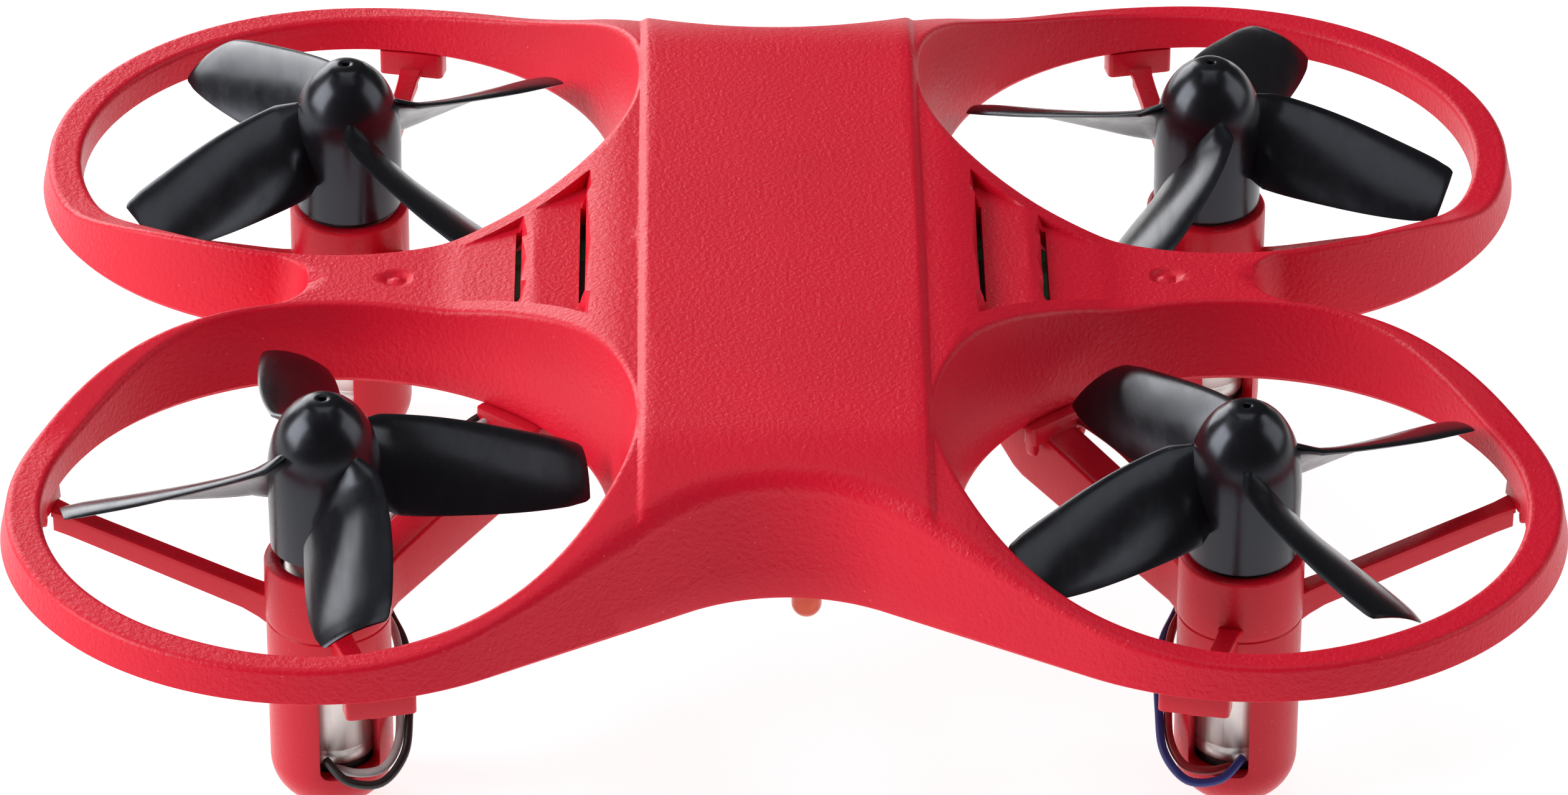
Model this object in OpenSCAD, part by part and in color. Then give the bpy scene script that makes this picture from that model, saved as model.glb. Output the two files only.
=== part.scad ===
// Palm-size quadcopter: a one-piece guard shell over a frame with four motor tubes.
// Millimetres. X is to the right, Y points to the rear, Z is up.
// The origin is on the ground, midway between the four motor shafts.

/* [Layout] */
// Half the spacing between the left and right motor shafts
motor_x = 30; // [29:0.5:31]
// Half the spacing between the front and rear motor shafts
motor_y = 22.9; // [22.5:0.1:23.5]

/* [Guard shell] */
// Radius of a guard's hole at the bottom edge
hole_r = 18.5; // [18:0.1:18.7]
// Outer radius of a guard ring at the bottom edge
ring_r = 21.3; // [21:0.1:21.6]
// Height of the shell's bottom edge above the ground
shell_z = 20.5; // [20:0.1:21]
// Thickness of a guard ring, top to bottom
ring_h = 2.3; // [2:0.1:3]
// Height of the centre deck above the top of the rings
deck_rise = 7.25; // [6.5:0.05:7.5]
// Height of the waist, between front and rear rings, above the top of the rings
waist_rise = 3.35; // [3:0.05:3.5]
// Distance from the centre to the front and rear bottom edges, on the centre line
nose_y = 31.7; // [31:0.1:32]
// Radius of the hollow curve between two rings, seen from above
notch_r = 12; // [11:0.5:13]
// Radius at the root of the fork between a front and a rear ring
fork_r = 2.2; // [2:0.1:2.4]
// Side walls' lean, sideways for each millimetre of height
draft = 0.21; // [0.15:0.01:0.23]
// Side wall thickness of the shell
wall_t = 1.1; // [0.9:0.1:1.2]
// Top skin thickness of the shell
skin_t = 1.3; // [1:0.1:1.5]

/* [Motors] */
// Diameter of a motor can
can_d = 6; // [5.9:0.05:6.1]
// Length of a motor can
can_h = 14.2; // [13:0.1:14.3]
// Diameter of a motor shaft
shaft_d = 0.8; // [0.7:0.1:1]
// Outer diameter of a motor tube
tube_d = 8.3; // [8.2:0.1:8.6]
// Height of a motor tube's rim above the ground
tube_h = 18.5; // [18.4:0.1:18.8]

/* [Propellers] */
// Blade tip radius
prop_r = 17.3; // [16.5:0.1:17.4]
// Hub diameter
hub_d = 7.5; // [7:0.1:8]
// Hub height, from its skirt to its nose
hub_h = 10.9; // [10.5:0.1:11]
// Height of the hubs' noses above the ground
hub_top = 29.7; // [29.6:0.1:30]
// Blade thickness
blade_t = 0.6; // [0.5:0.1:0.8]

/* [Battery] */
// Battery length, front to rear
cell_l = 27; // [24:0.5:28]
// Battery width
cell_w = 14; // [12:0.5:14.5]
// Battery thickness
cell_h = 4.6; // [4:0.1:4.8]

/* [Power switch] */
// Travel of the power switch's slider
switch_travel = 2; // [1.5:0.1:2]

/* [Hidden] */

$fn = 48;
eps = 0.01;
// Left front, right front, left rear, right rear: the signs of X and Y
corners = [[-1, -1], [1, -1], [-1, 1], [1, 1]];
// Angle of each propeller's first blade, its turning hand, and how high it sits on its shaft
blade_angle = [15, 25, 30, -14];
blade_hand = [1, -1, -1, 1];
seat_gap = [0.7, 0, 0, 0];

gap = 0.1;
can_z = 3.8;
cap_h = 0.7;
shaft_clear = 0.05;
foot_h = 3.2;
foot_flat = 1;
tray_z = 18.4;
tray_t = 1.2;
tray_top = tray_z + tray_t;
board_z = 24.6;
board_t = 0.8;
board_top = board_z + board_t;

// ---------- small helpers ----------

function mix(a, b, t) = a + (b - a) * t;
function ease(t) = t <= 0 ? 0 : t >= 1 ? 1 : t * t * (3 - 2 * t);
function fall(v, from, to) = 1 - ease((v - from) / (to - from));
function peak(a, b, soft) = (a + b + sqrt((a - b) * (a - b) + soft * soft) - soft) / 2;
function dir(a) = [cos(a), sin(a)];

module mirror_if(on, axis) {
  if (on) mirror(axis) children();
  else children();
}

// Draws its children on the axis of motor k
module at_motor(k) {
  translate([corners[k].x * motor_x, corners[k].y * motor_y, 0]) children();
}

// Draws its children at motor k, turned over so that the body is on their +X, +Y side
module facing_body(k) {
  at_motor(k)
    mirror_if(corners[k].x > 0, [1, 0, 0])
      mirror_if(corners[k].y > 0, [0, 1, 0])
        children();
}

// Draws its children four times, mirrored about both centre planes
module four_times() {
  for (c = corners) {
    mirror_if(c.x < 0, [1, 0, 0])
      mirror_if(c.y < 0, [0, 1, 0])
        children();
  }
}

function unit(v) = v / norm(v);
function heading(route, i) =
  unit(route[min(i + 1, len(route) - 1)] - route[max(i - 1, 0)]);

// A direction square to the route at point i, carried along from its first point without twist
function sideways(route, i) =
  let (t = heading(route, i))
  let (before = i > 0 ? sideways(route, i - 1) : abs(t.z) > 0.9 ? [1, 0, 0] : [0, 0, 1])
  unit(before - (before * t) * t);

// A closed tube with eight sides along a route of points
module wire(route, d) {
  sides = 8;
  n = len(route);
  points = [for (i = [0:n - 1])
    let (u = sideways(route, i), v = cross(heading(route, i), u))
    for (k = [0:sides - 1])
    route[i] + d / 2 * (cos(k * 360 / sides) * u + sin(k * 360 / sides) * v)
  ];
  walls = [for (i = [0:n - 2])
    for (k = [0:sides - 1])
    let (l = (k + 1) % sides)
    [i * sides + k, i * sides + l, (i + 1) * sides + l, (i + 1) * sides + k]
  ];
  first = [for (k = [sides - 1:-1:0]) k];
  last = [for (k = [0:sides - 1]) (n - 1) * sides + k];
  polyhedron(points = points, faces = concat([first, last], walls));
}

// ---------- guard shell ----------

// Rise above the rings from the centre line out to the side: deck, crease, flank
flank = [
  [0, deck_rise], [9.2, deck_rise - 0.05], [9.8, deck_rise - 0.35], [11.8, 6.6], [14.3, 5.85],
  [17.8, 4.7], [20, 4.1], [23.5, 3], [26.8, 1.5], [30, 0.3], [33, 0]
];
ring_z = shell_z + ring_h;

// Height of the shell's top surface above the ground
function top_z(p) =
  let (body = fall(abs(p.y), 25, 49) * lookup(abs(p.x), flank))
  let (waist = fall(abs(p.y), 3.5, 17) * waist_rise)
  ring_z + peak(body, waist, 0.4);

// One quarter of the plan outline runs round the ring, along a straight flank to the
// hollow curve, then along both centre planes and round the fork, back to the ring.
ring_c = [motor_x, motor_y];
notch_c = [0, nose_y + notch_r];
fork_c = [motor_x + sqrt(pow(ring_r + fork_r, 2) - motor_y * motor_y), 0];
to_notch = notch_c - ring_c;
flank_a = atan2(to_notch.y, to_notch.x) - acos((notch_r + ring_r) / norm(to_notch));
fork_a = atan2(fork_c.y - ring_c.y, fork_c.x - ring_c.x);

// Point of the outline, moved in by the distance d: s is the stretch, f how far along it
function outline(s, f, d) =
  s == 0 ? ring_c + (ring_r - d) * dir(mix(fork_a, flank_a, f)) :
  s == 1 ? mix(outline(0, 1, d), outline(2, 0, d), f) :
  s == 2 ? notch_c + (notch_r + d) * dir(mix(flank_a + 180, 270, f)) :
  s == 3 ? [0, (nose_y - d) * (1 - f)] :
  s == 4 ? [(fork_c.x - fork_r - d) * f, 0] :
  fork_c + (fork_r + d) * dir(mix(180, fork_a + 180, f));

// Angle on the hole's edge that each stretch starts at, and how many steps it takes
stretch_a = [fork_a, flank_a, 148, 165, 217, 275, fork_a + 360];
stretch_n = [24, 4, 4, 9, 10, 3];

// How much of the draft the hole's wall has: none on the open side of a ring
function hole_lean(a) = fall(abs(a - 195), 95, 135);
function hole_point(a, grow) = ring_c + (hole_r + grow) * dir(a);

// Steps across the top, from the hole's edge to the outline
cross_steps = [0, 0.1, 0.25, 0.45, 0.65, 0.8, 0.92, 1];
edge_drop = 0.25;

// One upright slice of the shell, from the hole's bottom edge over the top and down again
function slice(s, f, inset, skin, foot) =
  let (a = mix(stretch_a[s], stretch_a[s + 1], f))
  let (lean = draft * hole_lean((a + 360) % 360))
  let (h_in = top_z(hole_point(a, inset + lean * 6)) - skin - shell_z)
  let (p_in = hole_point(a, inset + lean * h_in))
  let (h_out = top_z(outline(s, f, inset + draft * 5)) - skin - shell_z)
  let (p_out = outline(s, f, inset + draft * h_out))
  let (seam = s == 3 || s == 4 || (s == 2 && f == 1))
  concat(
    [[each hole_point(a, inset), foot]],
    [for (t = cross_steps)
      let (p = mix(p_in, p_out, t))
      let (drop = t == 0 || (t == 1 && !seam) ? edge_drop : 0)
      [each p, top_z(p) - skin - drop]],
    [[each outline(s, f, inset), foot]]
  );

// The same quarter four times over, in one closed surface: seams have no wall between them
module quarters(slices, seams, looped) {
  n = len(slices[0]);
  m = len(slices);
  points = [for (c = corners) for (one = slices) for (p = one) [p.x * c.x + 0, p.y * c.y + 0, p.z]];
  faces = [for (q = [0:3])
    let (flip = corners[q].x * corners[q].y < 0)
    for (i = [0:looped ? m - 1 : m - 2])
    let (j = (i + 1) % m)
    for (k = [0:n - 1])
    let (l = (k + 1) % n)
    if (!(k == n - 2 && seams[i] && seams[j]))
    let (a = (q * m + i) * n + k, b = (q * m + i) * n + l)
    let (c = (q * m + j) * n + l, d = (q * m + j) * n + k)
    for (f = [[a, b, c], [a, c, d]])
    flip ? f : [f[2], f[1], f[0]]
  ];
  caps = looped ? [] : [for (q = [0:3])
    let (flip = corners[q].x * corners[q].y < 0)
    for (end = [0, 1])
    let (face = [for (k = [0:n - 1]) (q * m + end * (m - 1)) * n + k])
    flip != (end == 0) ? face : [for (k = [n - 1:-1:0]) face[k]]
  ];
  polyhedron(points = points, faces = concat(faces, caps), convexity = 8);
}

steps_all = [for (s = [0:5]) for (i = [1:stretch_n[s]]) [s, i / stretch_n[s]]];
steps_body = [for (s = [1:4]) for (i = [1:stretch_n[s]]) [s, i / stretch_n[s]]];
function on_seam(steps) = [for (e = steps) e[0] == 3 || e[0] == 4 || (e[0] == 2 && e[1] == 1)];

// Air vents: a slot each, cut through the skin beside the deck
slot_x = [13.4, 17.75];
slot_l = [12.6, 9.2];
slot_w = 0.5;

// Screw posts hang from the deck to the tray
post_at = [9.4, 13];
post_d = 3.2;
screw_d = 1.4;
screw_l = 6;
screw_head_d = 2.6;
screw_head_h = 0.8;
// Cross slot in a screw's head: length, width and depth
screw_slot = [1.6, 0.3, 0.4];
// How much wider a screw's hole is than the screw, where it holds
screw_bite = 0.04;

// The shell's walls and top over the hollow below them, before its posts and vents
module shell_skin() {
  resize([0, 0, 0])
    difference() {
      quarters([for (e = steps_all) slice(e[0], e[1], 0, 0, shell_z)],
        on_seam(steps_all), true);
      quarters([for (e = steps_body) slice(e[0], e[1], wall_t, skin_t, shell_z - 1)],
        on_seam(steps_body), false);
    }
}

module upper_shell() {
  color("crimson")
    difference() {
      union() {
        shell_skin();
        four_times()
          translate([post_at.x, post_at.y, tray_top])
            cylinder(d = post_d, h = top_z(post_at) - skin_t / 2 - tray_top);
      }
      for (side = [-1, 1]) {
        for (i = [0, 1]) {
          translate([side * slot_x[i] - slot_w / 2, -slot_l[i] / 2, shell_z + 4])
            cube([slot_w, slot_l[i], 8]);
        }
      }
      four_times()
        translate([post_at.x, post_at.y, tray_top - eps])
          cylinder(d = screw_d + screw_bite, h = screw_l);
    }
}

// ---------- lower frame ----------

// Plan outline of the tray between the four motors, one quarter of it
tray_quarter = [[8.6, 27.6], [9.6, 17], [15.6, 5]];
function all_quarters(points) =
  let (n = len(points) - 1)
  concat(
    [for (p = points) p],
    [for (i = [n:-1:0]) [points[i].x, -points[i].y]],
    [for (p = points) [-p.x, -p.y]],
    [for (i = [n:-1:0]) [-points[i].x, points[i].y]]
  );

// Thin arms reach the ring's underside: direction from the tube, and width of the end tab
thin_arms = [[165, 1.8], [-78, 4.6]];
thin_arm_w = 1.4;
thin_arm_z = [12.9, 14.9];
thin_arm_end_z = [17.6, 19.3];
thin_arm_reach = 20.2;
tab_l = 1.8;
tab_h = 1.8;
tab_top = shell_z - 0.05;
// Thick arms reach the tray and carry the motor leads
thick_arm_a = 50;
thick_arm_w = 2.8;
thick_arm_z = [12.1, 15.9];
thick_arm_knee = [18, 20.5];
thick_arm_knee_z = 15.4;
thick_arm_reach = 24.5;
arm_root = tube_d / 2 - 0.5;

// Two openings in a tube's wall show the can: their directions and heights
window_a = [-68, 119];
window_w = 4.2;
window_z = [3.3, 12.4];

// Openings in the tray, for the battery, the switch, the charging socket and two lamps
bay = [15, 29];
switch_y = 20.5;
switch_slot = [4.6, 1.6];
socket_size = [6, 3.4, 4.2];
socket_y = -20.5;
lamp_at = [1.4, 26.4];
lamp_d = 2;
standoff_at = [9.6, 6.5];
standoff_d = 2;
cover_t = 1;
cover_screw_y = -bay.y / 2 - 1.8;
cover_hook = [6, 2.3, 0.6];
cover_hook_t = 0.7;
cover_tongue = [4.4, 5];
cover_tongue_lap = 1.8;

module tube_solid() {
  steps = 8;
  foot = [for (i = [0:steps])
    let (a = 90 * i / steps)
    [foot_flat + (tube_d / 2 - foot_flat) * sin(a), foot_h * (1 - cos(a))]
  ];
  rotate_extrude()
    polygon(concat([[0, 0]], foot, [[tube_d / 2, tube_h], [0, tube_h]]));
}

// Side profile of an arm, extruded to its width
module arm_blade(width, profile) {
  rotate([90, 0, 0])
    translate([0, 0, -width / 2])
      linear_extrude(width) polygon(profile);
}

module thin_arm(end_w) {
  tab_from = thin_arm_reach - tab_l;
  arm_blade(thin_arm_w, [
    [arm_root, thin_arm_z[0]], [arm_root, thin_arm_z[1]],
    [tab_from + 0.2, thin_arm_end_z[1]], [tab_from + 0.2, thin_arm_end_z[0]]
  ]);
  translate([tab_from, -end_w / 2, tab_top - tab_h]) cube([tab_l, end_w, tab_h]);
}

module thick_arm() {
  arm_blade(thick_arm_w, [
    [arm_root, thick_arm_z[0]], [arm_root, thick_arm_z[1]],
    [thick_arm_knee[0], tray_top - gap], [thick_arm_reach, tray_top - gap],
    [thick_arm_reach, tray_z + gap], [thick_arm_knee[1], thick_arm_knee_z]
  ]);
}

// A motor tube with its arms, drawn with the body on its +X, +Y side
module pod() {
  difference() {
    union() {
      tube_solid();
      for (arm = thin_arms) rotate([0, 0, arm[0]]) thin_arm(arm[1]);
      rotate([0, 0, thick_arm_a]) thick_arm();
    }
    translate([0, 0, can_z - cap_h]) cylinder(d = can_d + gap, h = tube_h);
    for (a = window_a) {
      rotate([0, 0, a])
        translate([0, -window_w / 2, window_z[0]])
          cube([tube_d, window_w, window_z[1] - window_z[0]]);
    }
  }
}

module tray() {
  linear_extrude(tray_t)
    difference() {
      polygon(all_quarters(tray_quarter));
      square(bay, center = true);
      translate([0, switch_y]) square(switch_slot, center = true);
      translate([0, socket_y]) square([socket_size.x, socket_size.y] + 2 * [gap, gap], center = true);
      for (s = [-1, 1]) translate([lamp_at.x, s * lamp_at.y]) circle(d = lamp_d + gap);
      for (c = corners) translate([c.x * post_at.x, c.y * post_at.y]) circle(d = screw_d + 2 * gap);
      translate([0, cover_screw_y]) circle(d = screw_d + screw_bite);
    }
}

module lower_frame() {
  color("firebrick") {
    for (k = [0:3]) facing_body(k) pod();
    translate([0, 0, tray_z]) tray();
    four_times()
      translate([standoff_at.x, standoff_at.y, tray_top - tray_t / 2])
        cylinder(d = standoff_d, h = board_z - tray_top + tray_t / 2);
  }
}

// ---------- covers and screws ----------

// Closes the battery bay from below, with a hook at the rear and a screwed tongue in front
module battery_cover() {
  hook_y = bay.y / 2 - gap - cover_hook_t;
  color("firebrick")
    difference() {
      union() {
        translate([-bay.x / 2 + gap, -bay.y / 2 + gap, tray_z])
          cube([bay.x - 2 * gap, bay.y - 2 * gap, cover_t]);
        translate([-cover_tongue.x / 2, cover_screw_y - cover_tongue_lap, tray_z - cover_t])
          cube([cover_tongue.x, cover_tongue.y, cover_t]);
        translate([-cover_hook.x / 2, hook_y, tray_z])
          cube([cover_hook.x, cover_hook_t, tray_t + gap + cover_hook.z]);
        translate([-cover_hook.x / 2, hook_y, tray_top + gap]) cube(cover_hook);
      }
      translate([0, cover_screw_y, tray_z - cover_t - 1])
        cylinder(d = screw_d + 2 * gap, h = cover_t + 2);
    }
}

// A pan-head screw with its head downwards and a cross slot, its head's top at z = 0
module screw(length) {
  difference() {
    union() {
      translate([0, 0, -screw_head_h]) cylinder(d = screw_head_d, h = screw_head_h);
      cylinder(d = screw_d, h = length);
    }
    for (a = [0, 90]) {
      rotate([0, 0, a])
        translate([-screw_slot.x / 2, -screw_slot.y / 2, -screw_head_h - eps])
          cube([screw_slot.x, screw_slot.y, screw_slot.z + eps]);
    }
  }
}

module frame_screws() {
  color("silver")
    four_times()
      translate([post_at.x, post_at.y, tray_z]) screw(screw_l);
}

module cover_screw() {
  color("silver")
    translate([0, cover_screw_y, tray_z - cover_t]) screw(cover_t + tray_t);
}

// ---------- electronics ----------

// Plan outline of the circuit board, one quarter of it, and its chips: centre, then size
board_quarter = [[7.4, 18], [7.4, 10.8], [14.6, 8], [18.6, 3.6]];
chip_list = [[0, 1.5, 4, 4, 0.9], [-4.6, -6.5, 3, 3, 0.8], [4.2, -6, 2.4, 3.2, 0.8],
  [9.4, 1, 3, 2, 0.7], [-9.6, 0.5, 2.6, 2.6, 0.7], [13.4, 0, 2, 5, 0.4], [-13.4, 0, 2, 5, 0.4]];

module circuit_board() {
  color("darkgreen")
    translate([0, 0, board_z]) linear_extrude(board_t) polygon(all_quarters(board_quarter));
}

module board_chips() {
  color("dimgray")
    for (c = chip_list) {
      translate([c[0] - c[2] / 2, c[1] - c[3] / 2, board_top]) cube([c[2], c[3], c[4]]);
    }
}

module board_crystal() {
  color("silver")
    translate([3.6, 6.6, board_top])
      hull() {
        for (x = [0, 2.2]) translate([x, 0, 0]) cylinder(r = 0.8, h = 1.1, $fn = 32);
      }
}

module battery_cell() {
  color("silver")
    translate([-cell_w / 2, -cell_l / 2, tray_z + cover_t]) cube([cell_w, cell_l, cell_h]);
}

// Battery connector on the board's underside: its socket, and the plug's length beside it
connector = [4.4, 3.2, 2.4];
connector_at = [-6, -17.8, board_z - connector.z];
plug_l = 3.6;

module battery_socket() {
  color("ivory")
    translate(connector_at) cube(connector);
}

module battery_plug() {
  color("white")
    translate(connector_at + [connector.x, 0.3, 0.3]) cube([plug_l, connector.y - 0.6, connector.z - 0.6]);
}

// Route of a battery lead, from the plug round to the end of the cell
lead_route = [[2, -16.2, 23.9], [3.2, -16.2, 23.8], [4.4, -16, 23.4], [5.2, -15.3, 22.9],
  [5.4, -14.4, 22.6], [5.4, -13.5, 22.5]];

module battery_leads() {
  color("maroon")
    for (s = [0, 1]) wire([for (p = lead_route) p + s * [0, 0, -0.9]], 0.7);
}

// The switch's box, the well that its slider runs in, and the slider's base and knob
switch_box = [7, 3.4, 3];
switch_well = [5.2, 2, 1.5];
slider_base = [2.6, 1.6, 1];
slider_knob = [1.5, 1.2];
slider_lift = 0.15;
slider_reach = 0.8;

module power_switch_body() {
  color("silver")
    difference() {
      translate([-switch_box.x / 2, switch_y - switch_box.y / 2, tray_top]) cube(switch_box);
      translate([-switch_well.x / 2, switch_y - switch_well.y / 2, tray_top - eps])
        cube([switch_well.x, switch_well.y, switch_well.z + eps]);
    }
}

// The slider rests at the off end, on -X, and travels towards +X
module power_switch_slider() {
  color("black")
    translate([-switch_travel / 2, switch_y, 0]) {
      translate([-slider_base.x / 2, -slider_base.y / 2, tray_top + slider_lift]) cube(slider_base);
      translate([-slider_knob.x / 2, -slider_knob.y / 2, tray_z - slider_reach])
        cube([slider_knob.x, slider_knob.y, slider_reach + tray_t + 2 * slider_lift]);
    }
}

// Charging socket: opens downwards through the tray, and a flange rests on the tray
socket_wall = 0.5;
socket_depth = 3;
socket_flange = 0.6;
socket_flange_t = 0.5;

module charge_socket() {
  color("silver")
    translate([-socket_size.x / 2, socket_y - socket_size.y / 2, tray_z + gap])
      difference() {
        union() {
          cube(socket_size);
          translate([-socket_flange, -socket_flange, tray_t - gap])
            cube([socket_size.x + 2 * socket_flange, socket_size.y + 2 * socket_flange, socket_flange_t]);
        }
        translate([socket_wall, socket_wall, -eps])
          cube([socket_size.x - 2 * socket_wall, socket_size.y - 2 * socket_wall, socket_depth + eps]);
      }
}

// A lamp with its dome downwards and its collar on the tray
lamp_tip_z = 15.9;

module lamp() {
  steps = 6;
  r = lamp_d / 2;
  dome = [for (i = [0:steps])
    let (a = 90 * i / steps)
    [r * sin(a), lamp_tip_z + r * (1 - cos(a))]
  ];
  rotate_extrude()
    polygon(concat(dome, [[r, tray_top], [r + 0.4, tray_top], [r + 0.4, tray_top + 0.6],
      [0, tray_top + 0.6]]));
}

module front_lamp() {
  color("orangered") translate([lamp_at.x, -lamp_at.y, 0]) lamp();
}

module rear_lamp() {
  color("orangered") translate([lamp_at.x, lamp_at.y, 0]) lamp();
}

// Antenna: a thin wire from the board's rear edge up under the deck
antenna_route = [[3, 17.4, board_top + 0.2], [3.4, 18.8, 26], [4, 20.4, 26.6], [4.4, 22.2, 27],
  [4.2, 24, 27], [3.2, 25.4, 26.8], [1.6, 26.2, 26.6], [0, 26.4, 26.4]];

module antenna_wire() {
  color("black") wire(antenna_route, 0.4);
}

// ---------- motors ----------

// Boss on a can's top, and where the shafts start and end
bearing_d = 1.8;
bearing_h = 0.5;
shaft_top = hub_top - 2.6;
shaft_bottom = can_z + 2;

module motor_can(k) {
  color("silver")
    at_motor(k)
      difference() {
        union() {
          translate([0, 0, can_z]) cylinder(d = can_d, h = can_h);
          translate([0, 0, can_z + can_h]) cylinder(d = bearing_d, h = bearing_h);
        }
        translate([0, 0, shaft_bottom - 0.2])
          cylinder(d = shaft_d + 2 * shaft_clear, h = can_h + 2);
      }
}

module motor_cap(k) {
  color("black")
    at_motor(k)
      translate([0, 0, can_z - cap_h]) cylinder(d = can_d - 0.2, h = cap_h);
}

module motor_shaft(k) {
  color("lightgray")
    at_motor(k)
      translate([0, 0, shaft_bottom])
        cylinder(d = shaft_d, h = shaft_top + seat_gap[k] - shaft_bottom);
}

// ---------- propellers ----------

// Across a blade's length: radius, chord, pitch angle, and drop below the hub's nose
blade_rows = [[3.2, 6.9, 46, 5.5], [4.6, 7.2, 43, 5.7], [6.4, 7.3, 40, 6], [8.6, 7.2, 36, 6.25],
  [11, 6.9, 32, 6.55], [13.4, 6.4, 28, 6.85], [15.4, 5.8, 25.5, 7.05], [16.8, 5.2, 23.5, 7.2],
  [prop_r, 4.4, 23, 7.25]];
// Where a blade's middle lies, in degrees, and how far its root is swept ahead of that
blade_middle_a = -6.5;
blade_sweep_a = 14;

// Slim lens section of a blade, as parts of the chord and of the thickness
blade_section = [[0.5, 0], [0.3, 0.5], [-0.1, 0.65], [-0.35, 0.4], [-0.5, 0],
  [-0.3, -0.3], [0.3, -0.5]];

// One blade that points along +X and lifts when it turns anticlockwise
module blade() {
  n = len(blade_section);
  m = len(blade_rows);
  points = [for (row = blade_rows)
    let (r = row[0], chord = row[1], pitch = row[2])
    for (s = blade_section)
    let (u = s.x * chord, w = s.y * blade_t)
    let (side = u * cos(pitch) - w * sin(pitch), rise = u * sin(pitch) + w * cos(pitch))
    let (sweep = blade_sweep_a * pow(1 - r / prop_r, 2))
    let (a = blade_middle_a + sweep + side / max(r, 5) * 180 / PI)
    [each r * dir(a), rise - row[3]]
  ];
  walls = [for (i = [0:m - 2])
    for (k = [0:n - 1])
    let (l = (k + 1) % n)
    for (f = [[i * n + l, i * n + k, (i + 1) * n + l], [(i + 1) * n + l, i * n + k, (i + 1) * n + k]])
    f
  ];
  root = [for (k = [0:n - 1]) k];
  tip = [for (k = [n - 1:-1:0]) (m - 1) * n + k];
  polyhedron(points = points, faces = concat([root, tip], walls));
}

// Hub: a bullet with a small flat and a blind hole at its nose
module hub() {
  steps = 10;
  body_h = 4.6;
  nose_h = hub_h - body_h - 0.3;
  nose = [for (i = [0:steps])
    let (t = i / steps)
    [hub_d / 2 * sqrt(1 - 0.86 * t * t), body_h - hub_h + nose_h * t]
  ];
  difference() {
    rotate_extrude()
      polygon(concat([[0, -hub_h], [hub_d / 2 - 0.15, -hub_h]], nose, [[1.2, -0.1], [0.8, 0], [0, 0]]));
    translate([0, 0, -0.8]) cylinder(d = 0.6, h = 1);
    translate([0, 0, -hub_h - 1]) cylinder(d = shaft_d, h = shaft_top - hub_top + hub_h + 1);
  }
}

module propeller(k) {
  color("black")
    at_motor(k)
      translate([0, 0, hub_top + seat_gap[k]])
        rotate([0, 0, blade_angle[k]])
          mirror_if(blade_hand[k] < 0, [0, 1, 0]) {
            hub();
            for (i = [0:3]) rotate([0, 0, 90 * i]) blade();
          }
}

// ---------- motor leads ----------

// Route of a lead: out of the window, up beside the tube and along the thick arm.
// It is drawn for a pod whose body side is +X and +Y.
lead_d = 0.6;
motor_routes = [
  [[0.4, -3.35, 3.8], [2, -3.9, 3.8], [3.6, -3.6, 4.1], [4.5, -2.2, 5.2], [4.6, -0.4, 7.2],
    [4.6, 1.4, 9], [4.2, 3.2, 10.3], [3.3, 4.8, 11.3], [2.5, 6.2, 12.8], [3.2, 7.6, 15],
    [4.8, 9.4, 17], [7, 11.8, 18.6], [9.4, 14, 19.5], [11.4, 15.6, 19.9], [13, 16.4, 20.8],
    [13.9, 16.7, 22.6], [14.1, 16.7, board_z - 0.1]],
  [[-0.3, -3.5, 4.6], [1.2, -4.75, 3.7], [3.4, -4.6, 3.5], [4.9, -3, 4.7], [5.2, -1, 6.6],
    [5.2, 1.2, 8.4], [4.8, 3.2, 9.6], [3.8, 5.1, 10.7], [2.9, 6.6, 12.4], [3.2, 8.3, 14.6],
    [4.7, 10.1, 16.8], [6.7, 12.5, 18.5], [9, 14.6, 19.5], [11, 16.3, 19.9], [12.6, 17.2, 20.9],
    [13.2, 17.4, 22.6], [13.2, 17.4, board_z - 0.1]]
];

module motor_leads(k) {
  color(blade_hand[k] > 0 ? "lightgray" : "navy")
    facing_body(k)
      for (route = motor_routes) wire(route, lead_d);
}

upper_shell();
lower_frame();
battery_cover();
frame_screws();
cover_screw();
circuit_board();
board_chips();
board_crystal();
battery_cell();
battery_plug();
battery_socket();
battery_leads();
power_switch_body();
power_switch_slider();
charge_socket();
front_lamp();
rear_lamp();
antenna_wire();
motor_can(0);  // motor_can_fl
motor_can(1);  // motor_can_fr
motor_can(2);  // motor_can_rl
motor_can(3);  // motor_can_rr
motor_cap(0);  // motor_cap_fl
motor_cap(1);  // motor_cap_fr
motor_cap(2);  // motor_cap_rl
motor_cap(3);  // motor_cap_rr
motor_shaft(0);  // motor_shaft_fl
motor_shaft(1);  // motor_shaft_fr
motor_shaft(2);  // motor_shaft_rl
motor_shaft(3);  // motor_shaft_rr
propeller(0);  // propeller_fl
propeller(1);  // propeller_fr
propeller(2);  // propeller_rl
propeller(3);  // propeller_rr
motor_leads(0);  // motor_leads_fl
motor_leads(1);  // motor_leads_fr
motor_leads(2);  // motor_leads_rl
motor_leads(3);  // motor_leads_rr
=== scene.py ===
"""Palm-size quadcopter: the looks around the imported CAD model. Lengths are in metres, and
the shapes are worked out in millimetres from the CAD nodes' boxes, then scaled by MM."""

import math

import bmesh
import bpy
from mathutils import Matrix, Vector


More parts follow.
